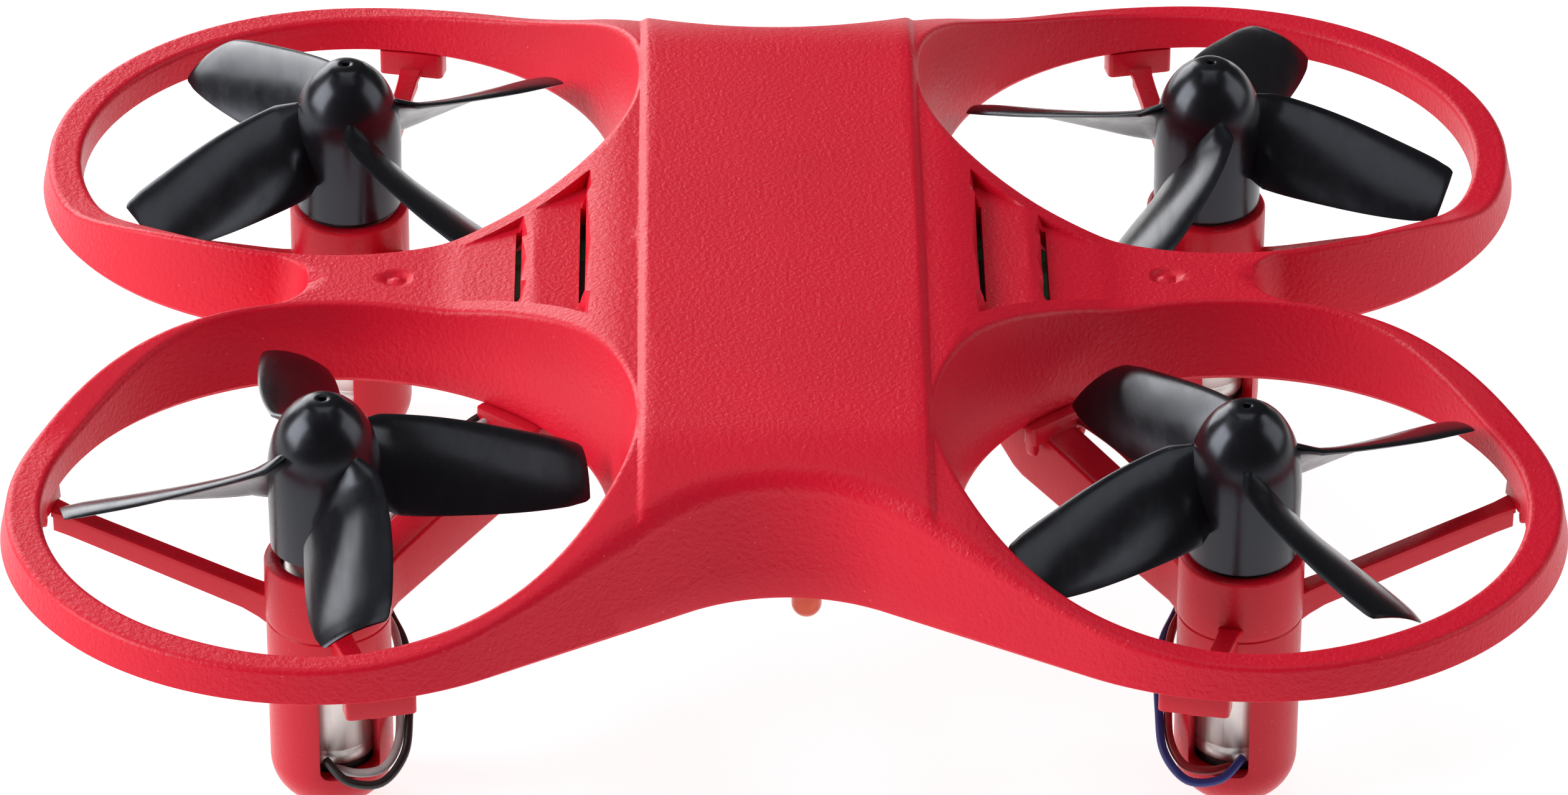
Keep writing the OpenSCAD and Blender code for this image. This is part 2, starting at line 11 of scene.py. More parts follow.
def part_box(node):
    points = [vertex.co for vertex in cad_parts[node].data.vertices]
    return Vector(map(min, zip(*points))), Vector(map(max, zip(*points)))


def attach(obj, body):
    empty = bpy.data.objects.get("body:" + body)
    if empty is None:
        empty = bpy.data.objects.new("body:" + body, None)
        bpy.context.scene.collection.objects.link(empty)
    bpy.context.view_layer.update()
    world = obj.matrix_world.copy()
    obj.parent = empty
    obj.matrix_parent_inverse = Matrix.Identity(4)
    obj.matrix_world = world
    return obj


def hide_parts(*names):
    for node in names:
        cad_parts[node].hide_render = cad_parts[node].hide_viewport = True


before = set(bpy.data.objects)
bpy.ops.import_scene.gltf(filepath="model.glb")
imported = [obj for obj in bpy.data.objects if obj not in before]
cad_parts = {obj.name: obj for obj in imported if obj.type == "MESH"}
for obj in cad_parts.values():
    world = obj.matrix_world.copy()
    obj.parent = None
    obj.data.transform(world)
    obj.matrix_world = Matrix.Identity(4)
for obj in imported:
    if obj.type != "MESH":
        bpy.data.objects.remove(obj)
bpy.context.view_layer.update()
MM = 0.001
PODS = {"fl": (-1, -1), "fr": (1, -1), "rl": (-1, 1), "rr": (1, 1)}


def low(node, axis):
    """Lowest coordinate of a CAD node along an axis, in millimetres."""
    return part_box(node)[0][axis] / MM


def high(node, axis):
    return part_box(node)[1][axis] / MM


def middle(node, axis):
    return (low(node, axis) + high(node, axis)) / 2


# ---------- driving dimensions, from the frame ----------

MOTOR = Vector((middle("motor_can_fr", 0), -middle("motor_can_fr", 1)))
CAN_R = (high("motor_can_fr", 0) - low("motor_can_fr", 0)) / 2
BEARING_H = 0.5
CAN_TOP = high("motor_can_fr", 2) - BEARING_H
CAN_BOTTOM = low("motor_can_fr", 2)
SHELL_UNDER_BOARD = 4.1
SHELL_Z = low("circuit_board", 2) - SHELL_UNDER_BOARD
RING_R = high("upper_shell", 0) - MOTOR.x
DECK_Z = high("upper_shell", 2)
RING_H = 2.3
RING_Z = SHELL_Z + RING_H
DECK_RISE = DECK_Z - RING_Z
WAIST_RISE = 3.35
HOLE_R = 18.5
NOSE_Y = 31.7
NOTCH_R = 12.0
FORK_R = 2.2
DRAFT = 0.21
WALL = 1.1
SKIN = 1.3
TUBE_R = 4.15
TUBE_TOP = 18.5
COVER_T = 1.0
TRAY_T = 1.2
TRAY_Z = low("battery_cover", 2) + COVER_T
TRAY_TOP = TRAY_Z + TRAY_T


# ---------- small helpers ----------

def mix(a, b, t):
    return a + (b - a) * t


def ease(t):
    t = min(1.0, max(0.0, t))
    return t * t * (3 - 2 * t)


def fall(v, start, end):
    return 1 - ease((v - start) / (end - start))


def lookup(v, table):
    """Value at v in a table of (key, value) pairs, on straight lines between them."""
    for (a, x), (b, y) in zip(table, table[1:]):
        if v <= b:
            return mix(x, y, max(0.0, (v - a) / (b - a)))
    return table[-1][1]


def polar(degrees, radius=1.0):
    a = math.radians(degrees)
    return Vector((math.cos(a) * radius, math.sin(a) * radius))


def steps(n):
    """Fractions from 1/n to 1."""
    return [(i + 1) / n for i in range(n)]


def corner_drop(distance, radius):
    """How far a rounded edge lies below the flat, at a distance in from the edge."""
    if distance >= radius:
        return 0.0
    d = radius - max(distance, 0.0)
    return radius - math.sqrt(radius * radius - d * d)


def apply_modifiers(obj):
    dg = bpy.context.evaluated_depsgraph_get()
    dg.update()
    mesh = bpy.data.meshes.new_from_object(obj.evaluated_get(dg))
    obj.modifiers.clear()
    obj.data = mesh


def new_object(name, verts, faces, scale=MM):
    mesh = bpy.data.meshes.new(name)
    mesh.from_pydata([Vector(v) * scale for v in verts], [], faces)
    mesh.update()
    obj = bpy.data.objects.new(name, mesh)
    bpy.context.scene.collection.objects.link(obj)
    return obj


def clean(obj, merge=1e-7):
    """Merges coincident points, drops faces with no area and turns the faces outwards."""
    bm = bmesh.new()
    bm.from_mesh(obj.data)
    bmesh.ops.remove_doubles(bm, verts=bm.verts, dist=merge)
    bmesh.ops.dissolve_degenerate(bm, edges=bm.edges, dist=merge)
    bmesh.ops.recalc_face_normals(bm, faces=bm.faces)
    bm.to_mesh(obj.data)
    bm.free()


def soften(obj, width, segments=2, angle=30):
    """Rounds the edges that are sharper than an angle."""
    bevel = obj.modifiers.new("bevel", "BEVEL")
    bevel.width = width * MM
    bevel.segments = segments
    bevel.limit_method = "ANGLE"
    bevel.angle_limit = math.radians(angle)
    bevel.use_clamp_overlap = True
    apply_modifiers(obj)


def cut(obj, cutter):
    boolean = obj.modifiers.new("cut", "BOOLEAN")
    boolean.operation = "DIFFERENCE"
    boolean.solver = "EXACT"
    boolean.object = cutter
    apply_modifiers(obj)
    bpy.data.objects.remove(cutter)


def shade(obj, angle=35):
    """Smooth shading, with the edges sharper than an angle left crisp."""
    bm = bmesh.new()
    bm.from_mesh(obj.data)
    for face in bm.faces:
        face.smooth = True
    for edge in bm.edges:
        if len(edge.link_faces) == 2:
            edge.smooth = edge.calc_face_angle(0.0) < math.radians(angle)
    bm.to_mesh(obj.data)
    bm.free()


def finish_piece(obj, body, nodes, material, angle=35):
    shade(obj, angle)
    obj.data.materials.clear()
    obj.data.materials.append(material)
    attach(obj, body)
    if nodes:
        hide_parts(*nodes)
    return obj


def join(name, parts):
    """One object from several."""
    verts, faces = [], []
    for part in parts:
        base = len(verts)
        verts += [part.matrix_world @ v.co for v in part.data.vertices]
        faces += [[base + i for i in p.vertices] for p in part.data.polygons]
        bpy.data.objects.remove(part)
    return new_object(name, verts, faces, 1.0)


def revolved(name, profile, centre=(0, 0, 0), count=64):
    """A solid of revolution about Z: profile is (radius, height) from the axis to the axis."""
    verts, faces = [], []
    for r, z in profile:
        for k in range(count):
            a = 2 * math.pi * k / count
            verts.append(Vector((r * math.cos(a), r * math.sin(a), z)) + Vector(centre))
    for i in range(len(profile) - 1):
        for k in range(count):
            n = (k + 1) % count
            faces.append([i * count + k, i * count + n, (i + 1) * count + n, (i + 1) * count + k])
    obj = new_object(name, verts, faces)
    clean(obj, 1e-6)
    return obj


def lofted(name, sections):
    """A closed solid through sections with the same number of points."""
    n = len(sections[0])
    verts = [p for section in sections for p in section]
    faces = [[i * n + k, i * n + (k + 1) % n, (i + 1) * n + (k + 1) % n, (i + 1) * n + k]
             for i in range(len(sections) - 1) for k in range(n)]
    faces.append(list(range(n))[::-1])
    faces.append([(len(sections) - 1) * n + k for k in range(n)])
    obj = new_object(name, verts, faces)
    clean(obj)
    return obj


def block(name, lowest, highest):
    (x, y, z), (u, v, w) = lowest, highest
    return lofted(name, [[(x, y, h), (u, y, h), (u, v, h), (x, v, h)] for h in (z, w)])


def plate(name, outline, bottom, top):
    return lofted(name, [[(p[0], p[1], h) for p in outline] for h in (bottom, top)])


def rounded_outline(width, height, radius, arc=5):
    """Corner-rounded rectangle round the origin."""
    points = []
    for k, (sx, sy) in enumerate([(1, 1), (-1, 1), (-1, -1), (1, -1)]):
        c = Vector((sx * (width / 2 - radius), sy * (height / 2 - radius)))
        points += [c + polar(90 * k + 90 * i / arc, radius) for i in range(arc + 1)]
    return points


# ---------- guard shell ----------

FLANK = [
    (0, DECK_RISE), (8.95, DECK_RISE - 0.02), (9.15, DECK_RISE - 0.06), (9.3, DECK_RISE - 0.14),
    (9.45, DECK_RISE - 0.28), (9.6, DECK_RISE - 0.38), (11.8, 6.6), (14.3, 5.85), (17.8, 4.7),
    (20, 4.1), (23.5, 3.0), (26.8, 1.5), (30, 0.3), (33, 0),
]
DECK_MARKS = [9.6, 9.45, 9.3, 9.15, 8.95]
POCKET_X = [13.15, 17.25, 17.5, 22.4]
POCKET_FLOOR = [27.7, 26.8]
POCKET_SLOPE = 0.12
POCKET_IN = 1.45
SLOTS = [(13.38, 12.6), (17.72, 9.2)]
SLOT_W = 0.42
GATE_X = 25.9
HOLE_EDGE = 0.4
SKIRT_EDGE = 1.3
RING_EDGE = 0.42
CREST_R = 20.0
RING_LIP = 0.8
FOOT_IN = 0.15
HOLLOW_END = 27.5


def smooth_flank(x):
    """The flank's height, with its table's corners eased beyond the deck."""
    if x < 9.6:
        return lookup(x, FLANK)
    spread = min(1.2, x - 9.6)
    return sum(lookup(x + spread * k / 3, FLANK) for k in range(-3, 4)) / 7


def skin_z(x, y):
    """Height of the guard shell's top, with no edges or pockets."""
    body = fall(abs(y), 25, 49) * smooth_flank(abs(x))
    waist = fall(abs(y), 3.5, 17) * WAIST_RISE
    soft = 0.4
    return RING_Z + (body + waist + math.hypot(body - waist, soft) - soft) / 2


notch_c = Vector((0, NOSE_Y + NOTCH_R))
fork_c = Vector((MOTOR.x + math.sqrt((RING_R + FORK_R) ** 2 - MOTOR.y ** 2), 0))
to_notch = notch_c - MOTOR
FLANK_A = math.degrees(math.atan2(to_notch.y, to_notch.x)
                       - math.acos((NOTCH_R + RING_R) / to_notch.length))
FORK_A = math.degrees(math.atan2(fork_c.y - MOTOR.y, fork_c.x - MOTOR.x))


def outline(s, f, d):
    """Point of a quarter's plan outline, moved in by d: stretch s, fraction f."""
    if s == 0:
        return MOTOR + polar(mix(FORK_A, FLANK_A, f), RING_R - d)
    if s == 1:
        return outline(0, 1, d).lerp(outline(2, 0, d), f)
    if s == 2:
        return notch_c + polar(mix(FLANK_A + 180, 270, f), NOTCH_R + d)
    if s == 3:
        return Vector((0, (NOSE_Y - d) * (1 - f)))
    if s == 4:
        return Vector(((fork_c.x - FORK_R - d) * f, 0))
    return fork_c + polar(mix(180, FORK_A + 180, f), FORK_R + d)


def outline_distance(s, p, d):
    """How far p is inside the outline that is itself moved in by d."""
    if s == 0:
        return RING_R - d - (p - MOTOR).length
    if s == 1:
        a, b = outline(0, 1, d), outline(2, 0, d)
        along = (b - a).normalized()
        return abs((p - a).x * along.y - (p - a).y * along.x)
    if s in (2, 3):
        return (p - notch_c).length - NOTCH_R - d
    return (p - fork_c).length - FORK_R - d


def hole_angle(s, f):
    """Angle on the hole's edge that a slice starts from."""
    if s < 4:
        start = [FORK_A, FLANK_A, 148, 165, 190]
        return mix(start[s], start[s + 1], f)
    fork_x = fork_c.x - FORK_R
    straight = lambda x: 180 + math.degrees(math.acos((MOTOR.x - x) / CREST_R))
    if s == 5:
        return mix(275, FORK_A + 360, f)
    x = fork_x * f
    if x < 13:
        return mix(190, straight(13), x / 13)
    if x < 24:
        return straight(x)
    return mix(straight(24), 275, (x - 24) / (fork_x - 24))


def lean_at(a):
    """Lean of the hole's wall: the draft on the body's side, and none on the open side."""
    return DRAFT * fall(abs(a % 360 - 195), 95, 135)


def hole_crest(a):
    """Radius of the hole at its top edge."""
    r = HOLE_R + 1
    for _ in range(4):
        p = MOTOR + polar(a, r)
        r = HOLE_R + lean_at(a) * (skin_z(*p) - HOLE_EDGE - SHELL_Z)
    return r


def pocket_floor(x):
    if POCKET_X[0] < x < POCKET_X[1]:
        return POCKET_FLOOR[0]
    if POCKET_X[2] < x < POCKET_X[3]:
        return POCKET_FLOOR[1] - POCKET_SLOPE * (x - POCKET_X[2])
    return DECK_Z


def gate_mark(p):
    """A shallow round dimple with a small bump, where the moulding was fed."""
    d = math.hypot(p.x - GATE_X, p.y)
    return 0.22 * math.exp(-((d - 0.15) / 0.28) ** 2) - 0.3 * fall(d, 0.7, 1.15)


def top_point(s, p, crest_r, inset, edge):
    """A point of the top skin, with its rounded edges, pockets and gate mark."""
    z = skin_z(p.x, p.y)
    from_hole = (p - MOTOR).length - crest_r
    if s == 4 and from_hole > POCKET_IN:
        z = min(z, pocket_floor(p.x))
    z += gate_mark(p)
    z -= corner_drop(from_hole, HOLE_EDGE)
    z -= corner_drop(outline_distance(s, p, inset), edge)
    return Vector((p.x, p.y, z))


def crossing(a, b, x):
    """Fraction of the way from a to b at which x is met, or 1."""
    if b.x >= x or a.x <= x:
        return 1.0
    return (a.x - x) / (a.x - b.x)


def circle_crossing(a, b, radius):
    """Fraction of the way from a to b at which the distance from the motor is met."""
    for k in range(1, 61):
        if (a.lerp(b, k / 60) - MOTOR).length >= radius:
            t0, t1 = (k - 1) / 60, k / 60
            for _ in range(12):
                t = (t0 + t1) / 2
                if (a.lerp(b, t) - MOTOR).length < radius:
                    t0 = t
                else:
                    t1 = t
            return t1
    return 1.0


EDGE_IN = [0, 0.13, 0.32, 0.6, 1.0]
EDGE_OUT = [1.0, 0.62, 0.35, 0.15, 0.04, 0]
BEFORE_MARKS = 14
AFTER_MARKS = 12
CEILING = 12


def cross_fractions(s, f, a, b, crest_r, edge):
    """Fractions along a slice's top, close together at its edges, creases and pocket ends."""
    length = (b - a).length
    start = HOLE_EDGE * 1.05 / length
    stop = 1.0 if s == 4 else 1 - edge * 1.05 / length
    if s == 4 and b.x > 9.6 or s == 5:
        ends = [circle_crossing(a, b, crest_r + POCKET_IN + d) for d in (-0.05, 0.05, 0.25, 0.6, 1)]
        fade = ease((b.x - 9.6) / 2.4) if s == 4 else 1 - f
        marks = [mix(stop, min(t, stop), fade) for t in ends]
    else:
        marks = [min(stop, max(start, crossing(a, b, x))) for x in DECK_MARKS]
    fractions = [start * e for e in EDGE_IN]
    fractions += [mix(start, marks[0], t) for t in steps(BEFORE_MARKS)]
    fractions += marks[1:]
    fractions += [mix(marks[-1], stop, t) for t in steps(AFTER_MARKS)]
    if s == 4:
        fractions += [1.0] * (len(EDGE_OUT) - 1)
    else:
        fractions += [1 - (1 - stop) * e for e in EDGE_OUT[1:]]
    return fractions


def wall_rows(bottom, top):
    """Points up a wall, closer together at its foot and its top."""
    return [bottom.lerp(top, t) for t in (0.05, 0.3, 0.6, 0.86, 0.96)]


def shell_slice(s, f):
    """One closed loop round the shell's section, from the hole's side over to the outline's."""
    a = hole_angle(s, f)
    crest_r = hole_crest(a)
    p_in = MOTOR + polar(a, crest_r)
    edge = edge_radius(s, f)
    at = outline(s, f, 1.0) if s != 3 else outline(2, 1, 1.0)
    rise = skin_z(*at) - edge - SHELL_Z
    inset = DRAFT * rise
    p_out = outline(s, f, inset)
    tops = [top_point(s, p_in.lerp(p_out, t), crest_r, inset, edge)
            for t in cross_fractions(s, f, p_in, p_out, crest_r, edge)]
    seam = s in (3, 4)
    foot_in = Vector((*(MOTOR + polar(a, HOLE_R)), SHELL_Z))
    foot_out = Vector((*outline(s, f, 0), SHELL_Z))
    rim_in = Vector((*(MOTOR + polar(a, HOLE_R + FOOT_IN)), SHELL_Z))
    rim_out = Vector((*outline(s, f, FOOT_IN), SHELL_Z))
    hollow = cavity(s, f)
    lip = mix(RING_LIP, WALL, hollow)
    under_in = MOTOR + polar(a, HOLE_R + lip)
    under_out = outline(s, f, lip)
    roof_in = MOTOR + polar(a, crest_r + WALL)
    roof_out = outline(s, f, 0 if s == 4 else inset + WALL)
    ceiling = []
    for k in range(CEILING + 1):
        t = k / CEILING
        flat = under_out.lerp(under_in, t)
        p = flat.lerp(roof_out.lerp(roof_in, t), hollow)
        skin = min(skin_z(p.x, p.y), pocket_floor(p.x) if s == 4 else DECK_Z)
        ceiling.append(Vector((p.x, p.y, mix(SHELL_Z, skin - SKIN, hollow))))
    if seam:
        wall_out = [tops[-1]] * 5
        foot_out = rim_out = tops[-1]
        under_edge = [ceiling[0]]
    else:
        wall_out = wall_rows(foot_out, tops[-1])[::-1]
        under_edge = [Vector((under_out.x, under_out.y, SHELL_Z))]
    return ([rim_in] + wall_rows(foot_in, tops[0]) + tops + wall_out + [rim_out]
            + under_edge + ceiling + [Vector((under_in.x, under_in.y, SHELL_Z))])


def edge_radius(s, f):
    """Radius of the outline's top edge: small on the rings, larger on the skirts."""
    if s == 1:
        return mix(RING_EDGE, SKIRT_EDGE, ease(f))
    return SKIRT_EDGE if s in (2, 3) else RING_EDGE


def cavity(s, f):
    """1 where the shell is hollow below, and 0 where a ring is solid."""
    if s == 1:
        return 1.0 if f > 0.5 else 0.0
    if s == 4:
        return 1.0 if (fork_c.x - FORK_R) * f < HOLLOW_END else 0.0
    return 1.0 if s in (2, 3) else 0.0


def path_samples():
    """Stretches and fractions of every slice in a quarter."""
    fork_x = fork_c.x - FORK_R
    xs = [0.8 * k for k in range(1, 12)]
    xs += [8.95, 9.15, 9.3, 9.45, 9.6]
    xs += [10 + 0.4 * k for k in range(8)]
    xs += [POCKET_X[0] - 0.03, POCKET_X[0] + 0.03]
    xs += [13.5 + 0.4 * k for k in range(10)]
    xs += [POCKET_X[1], 17.38, POCKET_X[2] - 0.03, POCKET_X[2] + 0.03]
    xs += [17.9 + 0.4 * k for k in range(12)]
    xs += [22.9, 23.4, 23.9, 24.3, 24.6]
    xs += [24.8 + 0.16 * k for k in range(15)]
    xs += [HOLLOW_END - 0.06, HOLLOW_END + 0.06] + [28 + 0.5 * k for k in range(9)] + [fork_x]
    ys = [0.12, 0.3, 0.55, 0.85, 1.2, 1.6, 2.1, 2.7]
    crest_y = NOSE_Y - DRAFT * 7
    samples = [(0, t) for t in steps(110)] + [(1, t) for t in steps(16)]
    samples += [(2, t) for t in steps(26)]
    samples += [(3, y / crest_y) for y in ys]
    samples += [(3, mix(ys[-1] / crest_y, 1, t)) for t in steps(44)]
    samples += [(4, x / fork_x) for x in sorted(set(xs)) if x <= fork_x]
    return samples + [(5, t) for t in steps(14)]


def shell_mesh():
    """A quarter's slices four times over. Along a seam, no wall is drawn between quarters."""
    samples = path_samples()
    loops = [shell_slice(s, f) for s, f in samples]
    n, m = len(loops[0]), len(loops)
    top_end = 6 + len(EDGE_IN) + BEFORE_MARKS + 4 + AFTER_MARKS + len(EDGE_OUT) - 1
    seam = [s in (3, 4) or (s == 2 and f == 1) for s, f in samples]
    verts, faces = [], []
    for sx, sy in PODS.values():
        base = len(verts)
        verts += [Vector((p.x * sx, p.y * sy, p.z)) for loop in loops for p in loop]
        for i in range(m):
            j = (i + 1) % m
            for k in range(n):
                l = (k + 1) % n
                between = top_end - 1 <= k < top_end + 7
                if between and seam[i] and seam[j]:
                    continue
                a, b = base + i * n, base + j * n
                faces.append([a + k, a + l, b + l, b + k])
    obj = new_object("guard_shell", verts, faces)
    clean(obj, 2e-6)
    return obj


def slot_cutters():
    boxes = []
    for side in (-1, 1):
        for x, length in SLOTS:
            c = side * x
            boxes.append(block("slot", (c - SLOT_W / 2, -length / 2, SHELL_Z + 3),
                               (c + SLOT_W / 2, length / 2, DECK_Z)))
    return join("slots", boxes)


# ---------- propellers ----------

BLADE_ROWS = [  # radius, chord, pitch angle, drop below the hub's nose, thickness
    (2.9, 6.7, 46.5, 5.4, 1.5), (3.5, 6.9, 45.5, 5.5, 1.15), (4.2, 7.05, 44, 5.65, 0.85),
    (5.2, 7.2, 42, 5.8, 0.66), (6.4, 7.25, 40, 6.0, 0.58), (8.6, 7.15, 36, 6.25, 0.52),
    (11, 6.85, 32, 6.55, 0.48), (13.4, 6.35, 28, 6.85, 0.44), (15.4, 5.75, 25.5, 7.05, 0.4),
    (16.5, 5.3, 23.8, 7.18, 0.34), (17.0, 4.95, 23.2, 7.23, 0.28), (17.3, 4.2, 23, 7.25, 0.16),
]
BLADE_TURN = -6.5
BLADE_SWEEP = 14
BLADE_ROOT = BLADE_ROWS[0][0]
PROP_TIP = BLADE_ROWS[-1][0]
HUB_R = 3.75
HUB_H = 10.9
HUB_BODY = 4.6


def row_at(r):
    """Chord, pitch, drop and thickness of a blade at a radius."""
    return [lookup(r, [(row[0], row[k]) for row in BLADE_ROWS]) for k in range(1, 5)]


def smooth_row(r):
    spread = min(0.9, r - BLADE_ROOT, PROP_TIP - r)
    rows = [row_at(r + spread * k / 2) for k in (-2, -1, 0, 1, 2)]
    return [sum(values) / 5 for values in zip(*rows)]


def blade_section(r, count=11):
    """A thin curved section: round leading edge, fine trailing edge, a little camber."""
    chord, pitch, drop, thick = smooth_row(r)
    cos_p, sin_p = math.cos(math.radians(pitch)), math.sin(math.radians(pitch))
    section = []
    for side in (1, -1):
        for i in range(count):
            u = -math.cos(math.pi * i / (count - 1)) * side / 2
            depth = thick / 2 * (1 - (2 * u) ** 4) ** 0.5 * (0.75 + 0.5 * u)
            camber = 0.075 * chord * (1 - (2 * u) ** 2)
            if i == 0 and section:
                continue
            if side < 0 and i == count - 1:
                continue
            along, up = u * chord, camber + side * depth
            across = along * cos_p - up * sin_p
            rise = along * sin_p + up * cos_p
            sweep = BLADE_SWEEP * (1 - r / PROP_TIP) ** 2
            a = BLADE_TURN + sweep + math.degrees(across / max(r, 5))
            section.append(Vector((*polar(a, r), rise - drop)))
    return section


def blade(turn):
    radii = [BLADE_ROOT + 0.35 * k for k in range(39)] + [16.5, 16.8, 17.0, 17.15, PROP_TIP]
    sections = []
    for r in sorted(set(radii)):
        section = blade_section(min(r, PROP_TIP))
        spin = Matrix.Rotation(math.radians(turn), 4, "Z")
        sections.append([spin @ p for p in section])
    return lofted("blade", sections)


def hub():
    """A bullet with a blind hole at its nose, and open below for the motor's bearing."""
    nose = []
    nose_h = HUB_H - HUB_BODY - 0.28
    for k in range(19):
        t = k / 18
        nose.append((HUB_R * math.sqrt(1 - 0.86 * t ** 2.5), HUB_BODY - HUB_H + nose_h * t))
    profile = [(0, -8.6), (0.5, -8.6), (0.5, -10.1), (3.0, -10.1), (3.0, -HUB_H + 0.08)]
    profile += [(3.1, -HUB_H), (3.55, -HUB_H), (3.67, -HUB_H + 0.07), (3.7, -HUB_H + 0.25)]
    profile += nose
    profile += [(1.25, -0.17), (0.95, -0.07), (0.6, -0.01), (0.36, 0.0), (0.29, -0.04)]
    profile += [(0.27, -0.12), (0.26, -0.9), (0, -0.95)]
    return revolved("hub", profile, count=72)


def propeller(pod, turn, hand, material):
    node = "propeller_" + pod
    parts = [hub()] + [blade(90 * k) for k in range(4)]
    obj = join(node + "_moulding", parts)
    spin = Matrix.Rotation(math.radians(turn), 4, "Z")
    place = Matrix.Translation(Vector((middle(node, 0), middle(node, 1), high(node, 2))) * MM)
    flip = Matrix.Diagonal((1, hand, 1, 1))
    obj.data.transform(place @ spin @ flip)
    clean(obj, 1e-7)
    return finish_piece(obj, "rotor_" + pod, [node], material, 40)


# ---------- motor tubes and arms ----------

THIN_ARMS = [(165, 1.8), (-78, 4.6)]
WINDOWS = (-68, 119)
WINDOW_W = 4.2
WINDOW_Z = (3.3, 12.4)
SEAM_Z = 14.0
BORE_R = CAN_R + 0.06
BORE_Z = 3.1
CUTTER_TOP = 22
ARM_START = TUBE_R - 0.5
TAB_R = 19.3
TAB_TOP = SHELL_Z - 0.04
THICK_ARM_A = 50


def in_direction(points, angle):
    spin = Matrix.Rotation(math.radians(angle), 3, "Z")
    return [spin @ Vector(p) for p in points]


def tube():
    """A motor tube: bullet foot, seam line, collar, rounded rim and a blind bore."""
    foot = [(0, 0), (1.0, 0.0)]
    for k in range(1, 15):
        a = math.radians(90 * k / 14)
        foot.append((1.0 + (TUBE_R - 0.06 - 1.0) * math.sin(a), 3.2 * (1 - math.cos(a))))
    r = TUBE_R
    profile = foot + [
        (r - 0.06, 8), (r - 0.05, SEAM_Z - 0.18), (r - 0.13, SEAM_Z - 0.08), (r - 0.13, SEAM_Z),
        (r - 0.01, SEAM_Z + 0.08), (r, SEAM_Z + 0.4), (r, TUBE_TOP - 0.3), (r - 0.08, TUBE_TOP - 0.1),
        (r - 0.28, TUBE_TOP), (r - 0.72, TUBE_TOP), (r - 0.92, TUBE_TOP - 0.08),
        (BORE_R, TUBE_TOP - 0.3), (BORE_R, BORE_Z), (0, BORE_Z),
    ]
    return revolved("tube", profile, count=96)


def window_cutter(angle):
    mid = (WINDOW_Z[0] + WINDOW_Z[1]) / 2
    outline_2d = rounded_outline(WINDOW_W, WINDOW_Z[1] - WINDOW_Z[0], 0.55)
    sections = [in_direction([(x, p[0], mid + p[1]) for p in outline_2d], angle) for x in (0.5, 6)]
    return lofted("window", sections)


def flanged(width, depth, z):
    """Section of a thin arm seen along it: a flat flange on a narrower web."""
    w, web = width / 2, width * 0.3
    return [(-w + 0.08, z), (-w, z - 0.08), (-w, z - 0.42), (-web, z - 0.6), (-web * 0.9, z - depth),
            (web * 0.9, z - depth), (web, z - 0.6), (w, z - 0.42), (w, z - 0.08), (w - 0.08, z)]


def thin_arm(angle, tab_w):
    """From the tube up to the ring: flared at both ends, with a block or a clip at the ring."""
    sections = []
    start, end = ARM_START, 18.7
    for k in range(15):
        t = k / 14
        r = mix(start, end, t)
        flare = 0.5 * fall(r, start, start + 1.6) + 0.35 * fall(end - r, 0, 1.4)
        z = mix(14.9, 19.3, t)
        depth = mix(2.0, 1.7, t) + 0.5 * fall(r, start, start + 1.8)
        sections.append(in_direction([(r, y, h) for y, h in flanged(1.35 + flare, depth, z)], angle))
    arm = lofted("arm", sections)
    if tab_w < 3:
        return [arm] + clip(angle, TAB_R, tab_w + 1.2)
    tab = [in_direction([(TAB_R + p[0], p[1], z) for p in rounded_outline(1.8, tab_w, 0.35, 3)], angle)
           for z in (SHELL_Z - 1.85, TAB_TOP)]
    return [arm, lofted("tab", tab)]


def clip(angle, r, width):
    """A bar across an arm's end, under the shell's edge, with a small hook down at both ends."""
    bar = [in_direction([(r + p[0], p[1], z) for p in rounded_outline(depth, width, 0.3, 3)], angle)
           for z, depth in [(SHELL_Z - 1.3, 1.2), (TAB_TOP, 1.0)]]
    parts = [lofted("bar", bar)]
    for side in (-1, 1):
        across = side * (width / 2 - 0.38)
        hook = []
        for z, w in [(SHELL_Z - 2.2, 0.45), (SHELL_Z - 1.9, 0.7), (SHELL_Z - 1.1, 0.72)]:
            ring = [(r + p[0], across + p[1], z) for p in rounded_outline(0.8, w, 0.2, 3)]
            hook.append(in_direction(ring, angle))
        parts.append(lofted("hook", hook))
    return parts


def thick_arm(angle=THICK_ARM_A):
    """From the tube up inside the shell to the tray: a round-edged beam, a boss and a clip."""
    sections = []
    start, end = ARM_START, 24.3
    tops = [(start, 15.9), (18, TRAY_TOP - 0.12), (25, TRAY_TOP - 0.12)]
    unders = [(start, 12.1), (20.5, 15.4), (24.5, TRAY_Z + 0.1)]
    for k in range(25):
        r = mix(start, end, k / 24)
        top, under = lookup(r, tops), lookup(r, unders)
        w = 1.4 + 0.35 * fall(r, start, start + 1.8)
        corner = 0.32
        points = []
        for quarter, (sy, sz) in enumerate([(1, 1), (-1, 1), (-1, -1), (1, -1)]):
            c = Vector((sy * (w - corner), (top if sz > 0 else under) - sz * corner))
            points += [c + polar(90 * quarter + 30 * i, corner) for i in range(4)]
        sections.append(in_direction([(r, p[0], p[1]) for p in points], angle))
    beam = lofted("beam", sections)
    boss = revolved("boss", [(0, 11.4), (0.8, 11.4), (1.05, 11.65), (1.05, 15.6), (0, 15.6)],
                    (*(polar(angle, TUBE_R + 0.55)), 0), 32)
    return [beam, boss] + clip(angle, 18.2, 5)


